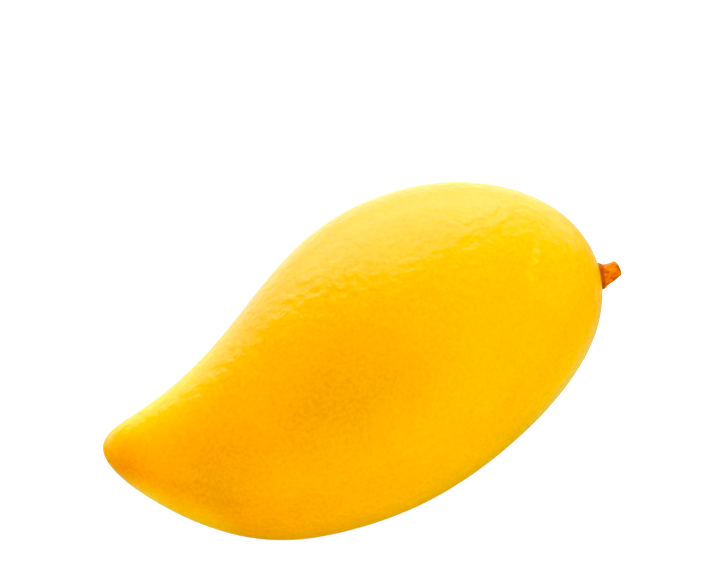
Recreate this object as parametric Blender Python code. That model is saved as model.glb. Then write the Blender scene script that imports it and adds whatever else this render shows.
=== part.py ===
# Mango: one whole ripe fruit of a long, beaked kind, lying on its cheek, with the cut
# stub of its stem.
#
# Metres, +Z up. +X runs from the beak to the stem, and the beak curves towards +Y. The
# origin is under the middle of the whole fruit, on the surface that it lies on.

import math

import bmesh
import bpy
import numpy as np
from mathutils import Matrix, Vector

# The fruit's own frame: its length along X, its breadth along Y, its thickness along Z,
# and the plane between its two cheeks at Z = 0.
LENGTH = 0.145

# Half the breadth that the outline would have if it swelled and closed like an ellipse,
# from the beak (-1) to the stem end (+1) of the length.
BREADTH_STATIONS = (-1.0, -0.7, -0.35, 0.0, 0.4, 0.8, 1.0)
HALF_BREADTHS = (0.0262, 0.0301, 0.0346, 0.0398, 0.0425, 0.0439, 0.0442)

# How far the middle of the outline lies to one side, which bends the beak over.
BEND_STATIONS = (-1.0, -0.85, -0.6, -0.3, 0.1, 0.55, 1.0)
BEND_OFFSETS = (0.0104, 0.0020, -0.0049, -0.0040, 0.0010, 0.0038, 0.0029)

# Thickness as a share of the breadth: the cheeks are a little flat.
FLATNESS_STATIONS = (-1.0, -0.5, 0.2, 1.0)
FLATNESS_SHARES = (0.90, 0.86, 0.82, 0.84)
SQUARENESS = 0.017          # how much fuller than an ellipse a cross-section is

# It lies with its weight over the spot that it has flattened.
REST_ROLL = math.radians(0.8)
REST_PITCH = math.radians(-3.1)
FLAT_DEPTH = 0.0005

# The stem stands a little off the end of the fruit, and runs on along the fruit's length.
STEM_ANGLE = 0.205          # radians round the outline, towards the beak's outer side
STEM_GAP = 0.0003
STEM_RINGS = (              # distance from the fruit, radius, share of the turn towards X
    (0.0000, 0.00350, 0.0),
    (0.0005, 0.00325, 0.35),
    (0.0011, 0.00270, 1.0),
    (0.0026, 0.00242, 1.0),
    (0.0047, 0.00222, 1.0),
    (0.0051, 0.00198, 1.0),
)

FRUIT_SEGMENTS = 56
FRUIT_RINGS = 44
STEM_SEGMENTS = 28


def smooth_through(stations, values, where):
    """Value of the natural cubic curve through (station, value) at the place `where`."""
    x = np.array(stations)
    y = np.array(values)
    last = len(x) - 1
    gap = np.diff(x)
    slope = np.diff(y) / gap
    matrix = np.eye(last + 1)
    target = np.zeros(last + 1)
    for i in range(1, last):
        matrix[i, i - 1:i + 2] = (gap[i - 1], 2.0 * (gap[i - 1] + gap[i]), gap[i])
        target[i] = 6.0 * (slope[i] - slope[i - 1])
    bend = np.linalg.solve(matrix, target)
    i = int(np.clip(np.searchsorted(x, where) - 1, 0, last - 1))
    before = where - x[i]
    after = x[i + 1] - where
    cubic = (bend[i] * after ** 3 + bend[i + 1] * before ** 3) / (6.0 * gap[i])
    start = (y[i] / gap[i] - bend[i] * gap[i] / 6.0) * after
    end = (y[i + 1] / gap[i] - bend[i + 1] * gap[i] / 6.0) * before
    return float(cubic + start + end)


def skin_point(point):
    """Where a point of the unit sphere, with its poles on X, goes on the fruit's skin."""
    along = max(-1.0, min(1.0, point.x))
    half_breadth = smooth_through(BREADTH_STATIONS, HALF_BREADTHS, along)
    bend = smooth_through(BEND_STATIONS, BEND_OFFSETS, along)
    flatness = smooth_through(FLATNESS_STATIONS, FLATNESS_SHARES, along)
    turn = math.atan2(point.z, point.y)
    fullness = 1.0 + SQUARENESS * math.sin(2.0 * turn) ** 2
    return Vector((
        along * LENGTH / 2.0,
        bend + half_breadth * fullness * point.y,
        half_breadth * fullness * flatness * point.z,
    ))


def outline_point(angle):
    """Point of the skin between the cheeks, at an angle round from the stem end."""
    return skin_point(Vector((math.cos(angle), math.sin(angle), 0.0)))


def make_fruit_mesh():
    bm = bmesh.new()
    bmesh.ops.create_uvsphere(bm, u_segments=FRUIT_SEGMENTS, v_segments=FRUIT_RINGS, radius=1.0)
    bmesh.ops.rotate(bm, verts=bm.verts, matrix=Matrix.Rotation(math.pi / 2.0, 3, "Y"))
    for vert in bm.verts:
        vert.co = skin_point(vert.co)
    return bm


def make_stem_mesh():
    """A collar that lies along the skin and a stub that turns to run along X."""
    step = 0.01
    foot = outline_point(-STEM_ANGLE)
    along_skin = outline_point(-STEM_ANGLE + step) - outline_point(-STEM_ANGLE - step)
    outwards = Vector((along_skin.y, -along_skin.x, 0.0)).normalized()
    lean = math.atan2(outwards.y, outwards.x)
    bm = bmesh.new()
    centre = foot + outwards * STEM_GAP
    reached = 0.0
    loops = []
    for distance, radius, turned in STEM_RINGS:
        heading = lean * (1.0 - turned)
        axis = Vector((math.cos(heading), math.sin(heading), 0.0))
        centre = centre + axis * (distance - reached)
        reached = distance
        place = Matrix.Translation(centre) @ axis.to_track_quat("Z", "Y").to_matrix().to_4x4()
        ring = bmesh.ops.create_circle(bm, segments=STEM_SEGMENTS, radius=radius, matrix=place)
        loops.append([edge for edge in bm.edges if all(v in ring["verts"] for v in edge.verts)])
    bmesh.ops.bridge_loops(bm, edges=[edge for loop in loops[:2] for edge in loop])
    for near, far in zip(loops[1:], loops[2:]):
        bmesh.ops.bridge_loops(bm, edges=near + far)
    bmesh.ops.edgeloop_fill(bm, edges=loops[0])
    bmesh.ops.edgeloop_fill(bm, edges=loops[-1])
    bmesh.ops.recalc_face_normals(bm, faces=bm.faces)
    return bm


def lean_to_rest(bm):
    pitch = Matrix.Rotation(REST_PITCH, 3, "Y")
    roll = Matrix.Rotation(REST_ROLL, 3, "X")
    bmesh.ops.rotate(bm, verts=bm.verts, matrix=roll @ pitch)


def cut_flat_spot(bm):
    height = min(vert.co.z for vert in bm.verts) + FLAT_DEPTH
    geometry = bm.verts[:] + bm.edges[:] + bm.faces[:]
    bmesh.ops.bisect_plane(
        bm, geom=geometry, plane_co=(0.0, 0.0, height), plane_no=(0.0, 0.0, -1.0),
        clear_outer=True)
    rim = [edge for edge in bm.edges if edge.is_boundary]
    for vert in {vert for edge in rim for vert in edge.verts}:
        vert.co.z = height
    bmesh.ops.edgeloop_fill(bm, edges=rim)
    bmesh.ops.recalc_face_normals(bm, faces=bm.faces)


def ground_centre(meshes):
    """Middle of the box round all the meshes, at its lowest height."""
    points = np.array([vert.co for bm in meshes for vert in bm.verts])
    low = points.min(axis=0)
    high = points.max(axis=0)
    return Vector(((low[0] + high[0]) / 2.0, (low[1] + high[1]) / 2.0, low[2]))


def make_material(name, colour, roughness):
    material = bpy.data.materials.new(name)
    material.use_nodes = True
    shader = material.node_tree.nodes["Principled BSDF"]
    shader.inputs["Base Color"].default_value = (*colour, 1.0)
    shader.inputs["Roughness"].default_value = roughness
    shader.inputs["Metallic"].default_value = 0.0
    return material


def make_object(name, bm, origin, material):
    bmesh.ops.translate(bm, verts=bm.verts, vec=-origin)
    mesh = bpy.data.meshes.new(name)
    bm.to_mesh(mesh)
    bm.free()
    mesh.shade_smooth()
    mesh.set_sharp_from_angle(angle=math.radians(40.0))
    mesh.materials.append(material)
    piece = bpy.data.objects.new(name, mesh)
    bpy.context.scene.collection.objects.link(piece)
    return piece


def build():
    for old in list(bpy.data.objects):
        bpy.data.objects.remove(old, do_unlink=True)
    fruit = make_fruit_mesh()
    stem = make_stem_mesh()
    lean_to_rest(fruit)
    lean_to_rest(stem)
    cut_flat_spot(fruit)
    origin = ground_centre((fruit, stem))
    make_object("fruit", fruit, origin, make_material("mango_skin", (1.0, 0.50, 0.01), 0.45))
    make_object("stem", stem, origin, make_material("mango_stem", (0.62, 0.16, 0.02), 0.7))


build()
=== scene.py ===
import math

import bmesh
import bpy
from mathutils import Matrix, Vector, noise
from mathutils.bvhtree import BVHTree


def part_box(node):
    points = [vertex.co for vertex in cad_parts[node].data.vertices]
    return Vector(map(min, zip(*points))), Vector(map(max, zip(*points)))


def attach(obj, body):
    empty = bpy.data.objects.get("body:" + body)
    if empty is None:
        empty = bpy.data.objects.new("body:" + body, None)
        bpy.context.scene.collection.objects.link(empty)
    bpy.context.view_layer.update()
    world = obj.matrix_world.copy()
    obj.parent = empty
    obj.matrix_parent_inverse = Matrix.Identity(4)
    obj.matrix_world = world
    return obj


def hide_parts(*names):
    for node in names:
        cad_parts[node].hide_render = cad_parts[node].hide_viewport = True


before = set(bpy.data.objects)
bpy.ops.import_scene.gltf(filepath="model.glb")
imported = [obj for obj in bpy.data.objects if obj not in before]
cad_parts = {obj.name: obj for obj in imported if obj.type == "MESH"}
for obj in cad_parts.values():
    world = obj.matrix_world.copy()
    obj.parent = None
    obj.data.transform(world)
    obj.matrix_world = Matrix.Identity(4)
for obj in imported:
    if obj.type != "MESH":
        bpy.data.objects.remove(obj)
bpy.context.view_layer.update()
fruitLow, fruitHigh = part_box("fruit")
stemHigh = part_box("stem")[1]
mm = 0.001


def hexColour(code):
    # sRGB hex to the linear colour that shaders and lights work in
    channels = []
    for start in (0, 2, 4):
        value = int(code[start:start + 2], 16) / 255.0
        channels.append(value / 12.92 if value <= 0.04045 else ((value + 0.055) / 1.055) ** 2.4)
    return (*channels, 1.0)


def addNode(tree, kind, settings=None, links=None):
    # settings go to sockets by name or number, or else to the node itself
    node = tree.nodes.new(kind)
    for key, value in (settings or {}).items():
        if isinstance(key, int) or key in node.inputs:
            node.inputs[key].default_value = value
        else:
            setattr(node, key, value)
    for key, source in (links or {}).items():
        tree.links.new(source, node.inputs[key])
    return node


def maths(tree, operation, first, second=0.0):
    node = addNode(tree, "ShaderNodeMath", {"operation": operation})
    for number, value in enumerate((first, second)):
        if isinstance(value, float):
            node.inputs[number].default_value = value
        else:
            tree.links.new(value, node.inputs[number])
    return node.outputs[0]


def newMaterial(name):
    material = bpy.data.materials.new(name)
    material.use_nodes = True
    material.node_tree.nodes.clear()
    return material, material.node_tree


def finishMaterial(tree, shader):
    addNode(tree, "ShaderNodeOutputMaterial", links={"Surface": shader.outputs[0]})


def showPiece(name, mesh, material, node):
    mesh.materials.clear()
    mesh.materials.append(material)
    mesh.shade_smooth()
    piece = bpy.data.objects.new(name, mesh)
    bpy.context.scene.collection.objects.link(piece)
    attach(piece, "root")
    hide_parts(node)
    return piece


fruitLook = {
    "mergeGap": 0.001 * mm,
    "quadFold": 40.0,          # the solid's triangles are paired up to this fold, in degrees
    "quadSkew": 60.0,
    "levels": 3,
    "voxel": 0.66 * mm,        # spacing of the finished skin's points
    "swellSize": 26.0 * mm,    # broad unevenness of the whole fruit
    "swellDepth": 0.16 * mm,
    "patchSize": 5.5 * mm,     # small dents that break up the shine
    "patchDepth": 0.045 * mm,
    "dimpleSize": 2.4 * mm,    # orange peel
    "dimpleSpread": 1.6,       # more makes each dimple narrower
    "dimpleDepth": 0.016 * mm,
    "groundFade": 4.0 * mm,    # the flat spot stays flat
}


def solidFace(mesh, facing):
    # middle of the solid's largest flat end that faces about one way, and which way it faces
    nearlyAlong = 0.9
    flats = {}
    for face in mesh.polygons:
        if face.normal.dot(facing) > nearlyAlong:
            flats.setdefault(tuple(round(part, 2) for part in face.normal), []).append(face)
    end = max(flats.values(), key=lambda faces: sum(face.area for face in faces))
    middle = sum((face.center * face.area for face in end), Vector()) / sum(face.area for face in end)
    return middle, end[0].normal.copy()


stemFoot, intoFruit = solidFace(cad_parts["stem"].data, Vector((-1.0, 0.0, 0.0)))
stemTip, stemAhead = solidFace(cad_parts["stem"].data, Vector((1.0, 0.0, 0.0)))


def addRounding(piece, levels):
    rounding = piece.modifiers.new("rounding", "SUBSURF")
    rounding.levels = levels
    rounding.render_levels = levels


def smoothSkin(name):
    # a finely and evenly divided copy of the fruit's solid
    bm = bmesh.new()
    bm.from_mesh(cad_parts["fruit"].data)
    bmesh.ops.remove_doubles(bm, verts=bm.verts, dist=fruitLook["mergeGap"])
    bmesh.ops.join_triangles(bm, faces=bm.faces,
                             angle_face_threshold=math.radians(fruitLook["quadFold"]),
                             angle_shape_threshold=math.radians(fruitLook["quadSkew"]))
    cage = bpy.data.meshes.new(name + "_cage")
    bm.to_mesh(cage)
    bm.free()
    target = bpy.data.objects.new(name + "_target", cage)
    worker = bpy.data.objects.new(name + "_worker", cage.copy())
    for helper in (target, worker):
        bpy.context.scene.collection.objects.link(helper)
        addRounding(helper, fruitLook["levels"])
    even = worker.modifiers.new("even", "REMESH")
    even.mode = "VOXEL"
    even.voxel_size = fruitLook["voxel"]
    settle = worker.modifiers.new("settle", "SHRINKWRAP")
    settle.target = target
    settle.wrap_method = "NEAREST_SURFACEPOINT"
    graph = bpy.context.evaluated_depsgraph_get()
    mesh = bpy.data.meshes.new_from_object(worker.evaluated_get(graph))
    mesh.name = name
    for helper in (worker, target):
        bpy.data.objects.remove(helper)
    return mesh


def ease(value, low, high):
    # 0 below low, 1 above high, smooth between them
    share = min(1.0, max(0.0, (value - low) / (high - low)))
    return share * share * (3.0 - 2.0 * share)


def roughenSkin(mesh):
    # swells, dents and dimples, kept inside the solid's box and off the flat spot
    bm = bmesh.new()
    bm.from_mesh(mesh)
    bmesh.ops.smooth_vert(bm, verts=bm.verts, factor=0.5, use_axis_x=True, use_axis_y=True,
                          use_axis_z=True)
    bm.normal_update()
    for vert in bm.verts:
        place = vert.co.copy()
        near = noise.voronoi(place / fruitLook["dimpleSize"])[0][0]
        depth = (noise.noise(place / fruitLook["swellSize"]) * fruitLook["swellDepth"]
                 + noise.noise(place / fruitLook["patchSize"]) * fruitLook["patchDepth"]
                 + (min(1.0, near * fruitLook["dimpleSpread"]) - 1.0) * fruitLook["dimpleDepth"])
        vert.co += vert.normal * depth * ease(place.z, 0.0, fruitLook["groundFade"])
        for axis in range(3):
            vert.co[axis] = min(fruitHigh[axis], max(fruitLow[axis], vert.co[axis]))
    bm.to_mesh(mesh)
    bm.free()


skinLook = {
    "beakColour": "F29406",    # at the beak end
    "stemColour": "FAB206",    # at the stem end
    "zones": {                 # middle and radius in mm, then the colour it fades to
        # painted shade: a brown zone over the middle of the cheek, standing in for the dark band
        # between the lights
        "painted_shade_cheek": ((-26.0, -33.0, 100.0), 65.0, "945E04"),
        # partly yellower skin and partly painted light on the lower right cheek
        "yellow_and_painted_light_cheek": ((21.0, -80.0, 6.0), 101.0, "FFBE04"),
        # painted sheen: paler yellow along the beak's upper edge, where the shine lies
        "painted_sheen_beak_back": ((-61.0, 36.0, 43.0), 43.0, "FFE004"),
        "beak_tip": ((-72.0, 1.0, 34.0), 12.0, "EA8406"),
        "low_cheek": ((-53.0, -18.0, 46.0), 20.0, "E28E06"),
        # painted bounce light from the floor on the lower front of the cheek
        "painted_bounce_cheek_under": ((-61.0, -19.0, 26.0), 16.0, "FFBE14"),
        # painted bounce light from the floor under the beak
        "painted_bounce_beak_under": ((-71.0, -8.0, 24.0), 15.0, "FFD43C"),
        # painted bounce light and painted rim reflection low on the stem side
        "painted_bounce_stem_under": ((53.0, -38.0, 21.0), 34.0, "FFE050"),
    },
    "paintedSheenPlace": Vector((47.0, -8.0, 58.0)) * mm,   # painted sheen: a few pale spots of shine near the stem
    "paintedSheenReach": 17.0 * mm,
    "paintedSheenSize": 4.2 * mm,
    "paintedSheenDetail": 3.0,
    "paintedSheenShare": (-0.75, 0.34),   # only where this is above 0
    "paintedSheenColour": "FFD66A",
    "mottleSize": 9.0 * mm,    # uneven ripening
    "mottleShade": (0.975, 1.02),
    "grainSize": 0.9 * mm,     # fine flecks in the skin
    "grainShade": (0.90, 1.06),
    "dimpleSize": 2.8 * mm,    # relief too fine for the mesh
    "dimpleDetail": 0.6,
    "pebbleSize": 1.5 * mm,
    "pebbleDetail": 1.0,
    "pebbleShare": 0.14,
    "poreSpacing": 2.3 * mm,   # lenticels, the skin's breathing pores
    "poreWidth": 0.32,         # as a share of their spacing
    "poreShare": -0.45,
    "reliefDepth": 0.1 * mm,
    "roughness": 0.29,
    "ior": 1.5,
    "glow": 0.2,               # light that soaks into the flesh and comes out redder
    "glowColours": (1.0, 0.35, 0.05),
    "glowDepth": 3.0 * mm,
}


def spread(tree, value, low, high, smooth=False):
    # noise lies mostly between 0.3 and 0.7
    return addNode(tree, "ShaderNodeMapRange", {
        "interpolation_type": "SMOOTHSTEP" if smooth else "LINEAR",
        "From Min": 0.3, "From Max": 0.7, "To Min": low, "To Max": high}, {"Value": value}).outputs[0]


def noiseAt(tree, place, size, detail=2.0):
    return addNode(tree, "ShaderNodeTexNoise", {"Scale": 1.0 / size, "Detail": detail},
                   {"Vector": place}).outputs["Fac"]


def blend(tree, factor, first, second):
    # colours are a hex code or another node's colour
    node = addNode(tree, "ShaderNodeMix", {"data_type": "RGBA"}, {"Factor": factor})
    for number, colour in ((6, first), (7, second)):
        if isinstance(colour, str):
            node.inputs[number].default_value = hexColour(colour)
        else:
            tree.links.new(colour, node.inputs[number])
    return node.outputs[2]


def fadeOut(tree, value, low, high):
    # 1 below low, 0 above high
    return addNode(tree, "ShaderNodeMapRange", {
        "interpolation_type": "SMOOTHSTEP", "From Min": low, "From Max": high,
        "To Min": 1.0, "To Max": 0.0}, {"Value": value}).outputs[0]


def heightAlong(tree, place, origin, axis):
    offset = addNode(tree, "ShaderNodeVectorMath", {"operation": "SUBTRACT", 1: origin}, {0: place})
    return addNode(tree, "ShaderNodeVectorMath", {"operation": "DOT_PRODUCT", 1: axis},
                   {0: offset.outputs[0]}).outputs["Value"]


def skinMaterial():
    # ripe mango skin: a thin waxy cuticle over yellow flesh, so it glows a little, shines
    # broadly and breaks the shine up in soft pebbles, dimples and pores
    material, tree = newMaterial("mango_skin")
    place = addNode(tree, "ShaderNodeTexCoord").outputs["Object"]
    along = addNode(tree, "ShaderNodeSeparateXYZ", links={"Vector": place}).outputs["X"]
    ripening = addNode(tree, "ShaderNodeMapRange", {
        "From Min": fruitLow.x, "From Max": fruitHigh.x}, {"Value": along}).outputs[0]
    colour = blend(tree, ripening, skinLook["beakColour"], skinLook["stemColour"])
    # colour zones fixed to the fruit; some hold painted shade, painted light, painted sheen and painted
    # bounce light
    for middle, radius, code in skinLook["zones"].values():
        distance = addNode(tree, "ShaderNodeVectorMath", {
            "operation": "DISTANCE", 1: [part * mm for part in middle]}, {0: place})
        fade = fadeOut(tree, distance.outputs["Value"], 0.0, radius * mm)
        colour = blend(tree, fade, colour, code)
    # painted sheen: pale spots of shine near the stem, mixed into the colour
    away = addNode(tree, "ShaderNodeVectorMath", {
        "operation": "DISTANCE", 1: skinLook["paintedSheenPlace"]}, {0: place}).outputs["Value"]
    paintedSheenPattern = spread(tree, noiseAt(tree, place, skinLook["paintedSheenSize"], skinLook["paintedSheenDetail"]),
                      *skinLook["paintedSheenShare"])
    paintedSheenAmount = maths(tree, "MULTIPLY", fadeOut(tree, away, 0.0, skinLook["paintedSheenReach"]), paintedSheenPattern)
    colour = blend(tree, maths(tree, "MAXIMUM", paintedSheenAmount), colour, skinLook["paintedSheenColour"])
    mottle = spread(tree, noiseAt(tree, place, skinLook["mottleSize"]), *skinLook["mottleShade"])
    grain = spread(tree, noiseAt(tree, place, skinLook["grainSize"]), *skinLook["grainShade"])
    shaded = addNode(tree, "ShaderNodeVectorMath", {"operation": "SCALE"},
                     {0: colour, "Scale": maths(tree, "MULTIPLY", mottle, grain)})
    dimple = spread(tree, noiseAt(tree, place, skinLook["dimpleSize"], skinLook["dimpleDetail"]),
                    0.0, 1.0, smooth=True)
    pebble = spread(tree, noiseAt(tree, place, skinLook["pebbleSize"], skinLook["pebbleDetail"]),
                    0.0, skinLook["pebbleShare"])
    pores = addNode(tree, "ShaderNodeTexVoronoi", {"Scale": 1.0 / skinLook["poreSpacing"]},
                    {"Vector": place}).outputs["Distance"]
    pore = maths(tree, "MULTIPLY", fadeOut(tree, pores, 0.0, skinLook["poreWidth"]),
                 skinLook["poreShare"])
    relief = maths(tree, "ADD", maths(tree, "ADD", dimple, pore), pebble)
    bump = addNode(tree, "ShaderNodeBump", {"Strength": 1.0, "Distance": skinLook["reliefDepth"]},
                   {"Height": relief})
    shader = addNode(tree, "ShaderNodeBsdfPrincipled", {
        "Roughness": skinLook["roughness"],
        "IOR": skinLook["ior"],
        "Subsurface Weight": skinLook["glow"],
        "Subsurface Radius": skinLook["glowColours"],
        "Subsurface Scale": skinLook["glowDepth"],
    }, {"Base Color": shaded.outputs[0], "Normal": bump.outputs[0]})
    finishMaterial(tree, shader)
    return material


fruitMesh = smoothSkin("mango_fruit")
roughenSkin(fruitMesh)
print("fruit skin:", len(fruitMesh.vertices), "points")
showPiece("mango_fruit", fruitMesh, skinMaterial(), "fruit")

stemLook = {
    "rings": (                 # share of the way from foot to tip, radius
        (0.0, 4.20 * mm), (0.03, 4.12 * mm), (0.09, 3.55 * mm), (0.20, 3.00 * mm),
        (0.45, 2.66 * mm), (0.75, 2.42 * mm), (0.96, 2.28 * mm), (0.99, 2.26 * mm),
        (1.0, 2.20 * mm)),
    "sides": 20,
    "levels": 3,
    "bendShare": 0.5,          # the axis has turned from the foot's to the tip's by here
    "capInsets": (0.1 * mm, 0.7 * mm),   # the first keeps the rim of the cut crisp
    "press": 0.3 * mm,         # the collar grows into the skin
    "collarReach": 0.55 * mm,
    "fibreWidth": 0.55 * mm,
    "fibreDepth": 0.11 * mm,
    "fibreStretch": 0.2,       # fibres are five times as long as they are wide
    "knotSize": 1.8 * mm,
    "knotDepth": 0.16 * mm,
    "scarPlace": Vector((0.9, -0.8, 2.6)) * mm,   # from the middle of the foot
    "scarRadius": 1.0 * mm,
    "cutCrisp": 0.5 * mm,      # the bark is smoother close to the cut
    "cutRelief": 0.3,          # share of the bark's relief left at the cut
    "cutDepth": 0.25 * mm,     # what counts as the cut face
    "pithHollow": 0.28 * mm,
    "hollowReach": 1.75 * mm,
    "pithRadius": 1.25 * mm,
    "pithEdge": 0.8,           # share of the radius where the pith starts to fade
    "bark": "D64802",
    "barkLight": "F07E06",
    "spot": "9E2802",
    "collar": "A42C04",
    "cutRim": "7A3A08",
    "pith": "D8A25A",
    "spotShare": (-0.3, 1.0),  # only where this is above 0
    "stain": 0.9,              # strength of the brown at the collar and the cut
    "cutFade": (0.05 * mm, 0.3 * mm),
    "fibreRelief": 0.05 * mm,
    "roughness": 0.55,
    "ior": 1.5,
}


def stemCage():
    # rings from the foot on the skin to the cut tip, along an easy bend
    bm = bmesh.new()
    reach = (stemTip - stemFoot).length / 3.0
    pull = (stemFoot, stemFoot - intoFruit * reach, stemTip - stemAhead * reach, stemTip)
    loops = []
    for share, radius in stemLook["rings"]:
        rest = 1.0 - share
        centre = (pull[0] * rest ** 3 + pull[1] * 3.0 * rest * rest * share
                  + pull[2] * 3.0 * rest * share * share + pull[3] * share ** 3)
        axis = (-intoFruit).lerp(stemAhead, ease(share, 0.0, stemLook["bendShare"]))
        turned = axis.to_track_quat("Z", "Y").to_matrix().to_4x4()
        ring = bmesh.ops.create_circle(bm, segments=stemLook["sides"], radius=radius,
                                       matrix=Matrix.Translation(centre) @ turned)["verts"]
        loops.append([edge for edge in bm.edges if all(vert in ring for vert in edge.verts)])
    for near, far in zip(loops, loops[1:]):
        bmesh.ops.bridge_loops(bm, edges=near + far)
    ends = [bmesh.ops.edgeloop_fill(bm, edges=loop)["faces"][0] for loop in (loops[0], loops[-1])]
    for width in stemLook["capInsets"]:
        bmesh.ops.inset_individual(bm, faces=ends, thickness=width)
    bmesh.ops.recalc_face_normals(bm, faces=bm.faces)
    cage = bpy.data.meshes.new("stem_cage")
    bm.to_mesh(cage)
    bm.free()
    return cage


def rounded(name, cage, levels):
    # a finished, rounded mesh from a coarse one
    worker = bpy.data.objects.new(name + "_worker", cage)
    bpy.context.scene.collection.objects.link(worker)
    addRounding(worker, levels)
    graph = bpy.context.evaluated_depsgraph_get()
    mesh = bpy.data.meshes.new_from_object(worker.evaluated_get(graph))
    mesh.name = name
    bpy.data.objects.remove(worker)
    return mesh


def barkStem(mesh, skin):
    # fibres, knots and a dried, sunken pith; the collar follows the skin and grows into it
    bm = bmesh.new()
    bm.from_mesh(mesh)
    bm.normal_update()
    for vert in bm.verts:
        place = vert.co.copy()
        height = (place - stemFoot).dot(-intoFruit)
        back = (stemTip - place).dot(stemAhead)
        fromAxis = (place - stemTip + stemAhead * back).length
        grain = Vector((place.x * stemLook["fibreStretch"], place.y, place.z))
        bark = (noise.noise(grain / stemLook["fibreWidth"]) * stemLook["fibreDepth"]
                + noise.noise(place / stemLook["knotSize"]) * stemLook["knotDepth"])
        bark *= stemLook["cutRelief"] + (1.0 - stemLook["cutRelief"]) * ease(
            back, 0.0, stemLook["cutCrisp"])
        vert.co += vert.normal * bark
        if back < stemLook["cutDepth"]:
            hollow = 1.0 - ease(fromAxis, 0.0, stemLook["hollowReach"])
            vert.co -= stemAhead * hollow * stemLook["pithHollow"]
        grip = 1.0 - ease(height, 0.0, stemLook["collarReach"])
        if grip > 0.0:
            spot, normal = skin.find_nearest(place)[:2]
            vert.co = vert.co.lerp(spot + normal * (height - stemLook["press"]), grip)
        vert.co.x = min(vert.co.x, stemHigh.x)
    bm.to_mesh(mesh)
    bm.free()


def stemMaterial():
    # a snapped mango stem: resinous orange bark, dry and fibrous, brown where it meets the
    # skin and round the cut, with paler pith in the middle of the cut
    material, tree = newMaterial("dried_mango_stem")
    place = addNode(tree, "ShaderNodeTexCoord").outputs["Object"]
    grain = addNode(tree, "ShaderNodeMapping", {"Scale": (stemLook["fibreStretch"], 1.0, 1.0)},
                    {"Vector": place}).outputs[0]
    fibre = spread(tree, noiseAt(tree, grain, stemLook["fibreWidth"]), 0.0, 1.0)
    colour = blend(tree, fibre, stemLook["bark"], stemLook["barkLight"])
    knot = spread(tree, noiseAt(tree, place, stemLook["knotSize"]), *stemLook["spotShare"],
                  smooth=True)
    colour = blend(tree, maths(tree, "MAXIMUM", knot), colour, stemLook["spot"])
    scar = addNode(tree, "ShaderNodeVectorMath", {
        "operation": "DISTANCE", 1: stemFoot + stemLook["scarPlace"]}, {0: place})
    scarred = fadeOut(tree, scar.outputs["Value"], 0.0, stemLook["scarRadius"])
    colour = blend(tree, scarred, colour, stemLook["spot"])
    height = heightAlong(tree, place, stemFoot, -intoFruit)
    collar = fadeOut(tree, height, 0.0, stemLook["collarReach"])
    colour = blend(tree, maths(tree, "MULTIPLY", collar, stemLook["stain"]), colour, stemLook["collar"])
    back = heightAlong(tree, place, stemTip, -stemAhead)
    cut = fadeOut(tree, back, *stemLook["cutFade"])
    colour = blend(tree, maths(tree, "MULTIPLY", cut, stemLook["stain"]), colour, stemLook["cutRim"])
    offset = addNode(tree, "ShaderNodeVectorMath", {"operation": "DISTANCE", 1: stemTip}, {0: place})
    pith = fadeOut(tree, offset.outputs["Value"], stemLook["pithRadius"] * stemLook["pithEdge"],
                   stemLook["pithRadius"])
    colour = blend(tree, pith, colour, stemLook["pith"])
    bump = addNode(tree, "ShaderNodeBump", {"Strength": 1.0, "Distance": stemLook["fibreRelief"]},
                   {"Height": fibre})
    shader = addNode(tree, "ShaderNodeBsdfPrincipled", {
        "Roughness": stemLook["roughness"],
        "IOR": stemLook["ior"],
    }, {"Base Color": colour, "Normal": bump.outputs[0]})
    finishMaterial(tree, shader)
    return material


stemMesh = rounded("mango_stem", stemCage(), stemLook["levels"])
skinTree = BVHTree.FromPolygons([vert.co for vert in fruitMesh.vertices],
                                [face.vertices for face in fruitMesh.polygons])
barkStem(stemMesh, skinTree)
print("stem:", len(stemMesh.vertices), "points")
showPiece("mango_stem", stemMesh, stemMaterial(), "stem")

studio = {
    "floorHalf": 8.0,
    "floorBright": "F4F4F2",   # painted shade: the card's own colour is bright towards the window behind the fruit, and darker towards the front, where the fruit's shadow falls
    "floorPaintedShade": "B2B2B2",      # and falls off towards the front
    "floorFall": (0.03, 0.09),   # where it goes from dim to bright, along Y
    "floorRoughness": 0.9,
    "backGlow": 0.4,           # painted light: the bright side of the card glows by itself, though it is no lamp
    "cameraGlow": 0.8,         # lifts the card to white, so the fruit's shadow on it stays faint
    "skyRadiance": 0.94,       # of the sky between the windows
    "windows": {               # turn from +Y, rise, half width, half height, lean, radiance
        "back": (-15.5, 10.0, 33.0, 49.5, 0.25, 2.42),
        "side": (-58.0, 22.0, 20.0, 32.0, 0.0, 0.9),
        "right": (-120.0, 20.0, 45.0, 35.0, 0.0, 0.25),
        "front": (150.0, 20.0, 55.0, 35.0, 0.0, 0.8),
    },
    "windowSoftness": 0.2,
    "aim": (0.0085, 0.0243, 0.033),
    "azimuth": -27.7,
    "elevation": 60.0,
    "distance": 0.5732,
    "lens": 105.0,
    "blueFloor": 0.1,          # a rich yellow: faint blue is lost
}


def direction(azimuth, elevation):
    # azimuth 0 is behind the fruit, along +Y, and grows towards -X
    turn = math.radians(azimuth)
    rise = math.radians(elevation)
    return Vector((-math.sin(turn) * math.cos(rise), math.cos(turn) * math.cos(rise), math.sin(rise)))


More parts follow.
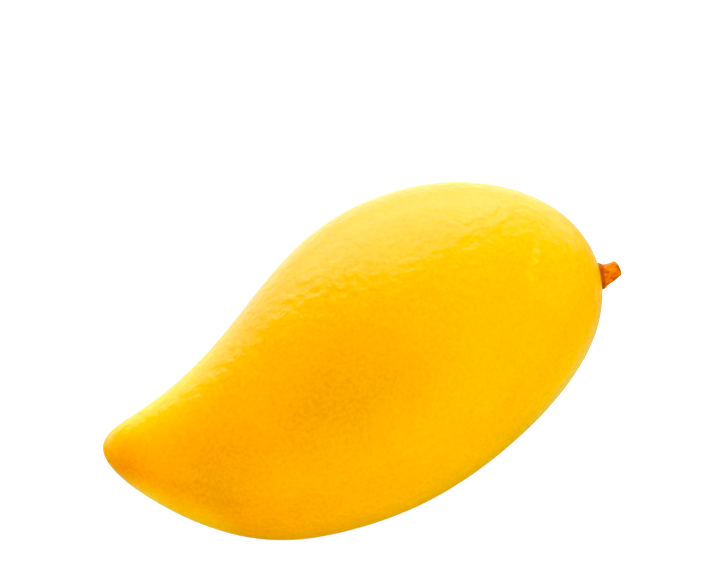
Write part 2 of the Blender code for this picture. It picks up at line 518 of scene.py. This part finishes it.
def makeFloor():
    bm = bmesh.new()
    bmesh.ops.create_grid(bm, x_segments=1, y_segments=1, size=studio["floorHalf"])
    mesh = bpy.data.meshes.new("studio_floor")
    bm.to_mesh(mesh)
    bm.free()
    # a matt card that looks whiter than it shines back on the fruit
    material, tree = newMaterial("matt_white_card")
    place = addNode(tree, "ShaderNodeTexCoord").outputs["Object"]
    axes = addNode(tree, "ShaderNodeSeparateXYZ", links={"Vector": place}).outputs
    # painted shade and light on the card: its colour is darker and its glow weaker towards the front
    fall = addNode(tree, "ShaderNodeMapRange", {
        "interpolation_type": "SMOOTHSTEP", "From Min": studio["floorFall"][0],
        "From Max": studio["floorFall"][1]}, {"Value": axes["Y"]}).outputs[0]
    colour = blend(tree, fall, studio["floorPaintedShade"], studio["floorBright"])
    ray = addNode(tree, "ShaderNodeLightPath").outputs["Is Camera Ray"]
    glow = maths(tree, "ADD", maths(tree, "MULTIPLY", fall, studio["backGlow"]),
                 maths(tree, "MULTIPLY", ray, studio["cameraGlow"]))
    shader = addNode(tree, "ShaderNodeBsdfPrincipled", {
        "Roughness": studio["floorRoughness"],
        "Emission Color": (1.0, 1.0, 1.0, 1.0),
    }, {"Base Color": colour, "Emission Strength": glow})
    finishMaterial(tree, shader)
    mesh.materials.append(material)
    floor = bpy.data.objects.new("studio_floor", mesh)
    bpy.context.scene.collection.objects.link(floor)


def makeSky():
    # an even white sky with broad oval windows in it, soft at their edges
    world = bpy.data.worlds.new("studio_sky")
    bpy.context.scene.world = world
    world.use_nodes = True
    tree = world.node_tree
    tree.nodes.clear()
    ray = addNode(tree, "ShaderNodeTexCoord").outputs["Generated"]
    axes = addNode(tree, "ShaderNodeSeparateXYZ", links={"Vector": ray}).outputs
    rise = maths(tree, "ARCSINE", axes["Z"])
    total = None
    for turn, height, halfWidth, halfHeight, lean, radiance in studio["windows"].values():
        ahead = addNode(tree, "ShaderNodeVectorMath", {
            "operation": "DOT_PRODUCT", 1: direction(turn, 0.0)}, {0: ray}).outputs["Value"]
        across = addNode(tree, "ShaderNodeVectorMath", {
            "operation": "DOT_PRODUCT", 1: direction(turn + 90.0, 0.0)}, {0: ray}).outputs["Value"]
        around = maths(tree, "ARCTAN2", across, ahead)
        above = maths(tree, "ADD", maths(tree, "SUBTRACT", rise, math.radians(height)),
                      maths(tree, "MULTIPLY", around, lean))
        offset = addNode(tree, "ShaderNodeCombineXYZ", links={
            0: maths(tree, "DIVIDE", around, math.radians(halfWidth)),
            1: maths(tree, "DIVIDE", above, math.radians(halfHeight))})
        reach = addNode(tree, "ShaderNodeVectorMath", {"operation": "LENGTH"}, {0: offset.outputs[0]})
        light = addNode(tree, "ShaderNodeMapRange", {
            "interpolation_type": "SMOOTHSTEP", "From Min": 1.0 - studio["windowSoftness"],
            "From Max": 1.0 + studio["windowSoftness"], "To Min": radiance, "To Max": 0.0},
            {"Value": reach.outputs["Value"]})
        total = maths(tree, "ADD", light.outputs[0], studio["skyRadiance"] if total is None else total)
    sky = addNode(tree, "ShaderNodeBackground", {"Color": (1.0, 1.0, 1.0, 1.0)}, {"Strength": total})
    addNode(tree, "ShaderNodeOutputWorld", links={"Surface": sky.outputs[0]})


def makeCamera():
    data = bpy.data.cameras.new("studio_camera")
    data.lens = studio["lens"]
    camera = bpy.data.objects.new("studio_camera", data)
    back = direction(studio["azimuth"] + 180.0, studio["elevation"])
    camera.location = Vector(studio["aim"]) + back * studio["distance"]
    camera.rotation_euler = (-back).to_track_quat("-Z", "Y").to_euler()
    bpy.context.scene.collection.objects.link(camera)
    bpy.context.scene.camera = camera


def gradePicture():
    grading = bpy.context.scene.view_settings
    grading.view_transform = "Standard"
    grading.use_curve_mapping = True
    grading.curve_mapping.black_level = (0.0, 0.0, studio["blueFloor"])
    grading.curve_mapping.update()


makeFloor()
makeSky()
makeCamera()
gradePicture()
print("studio ready")
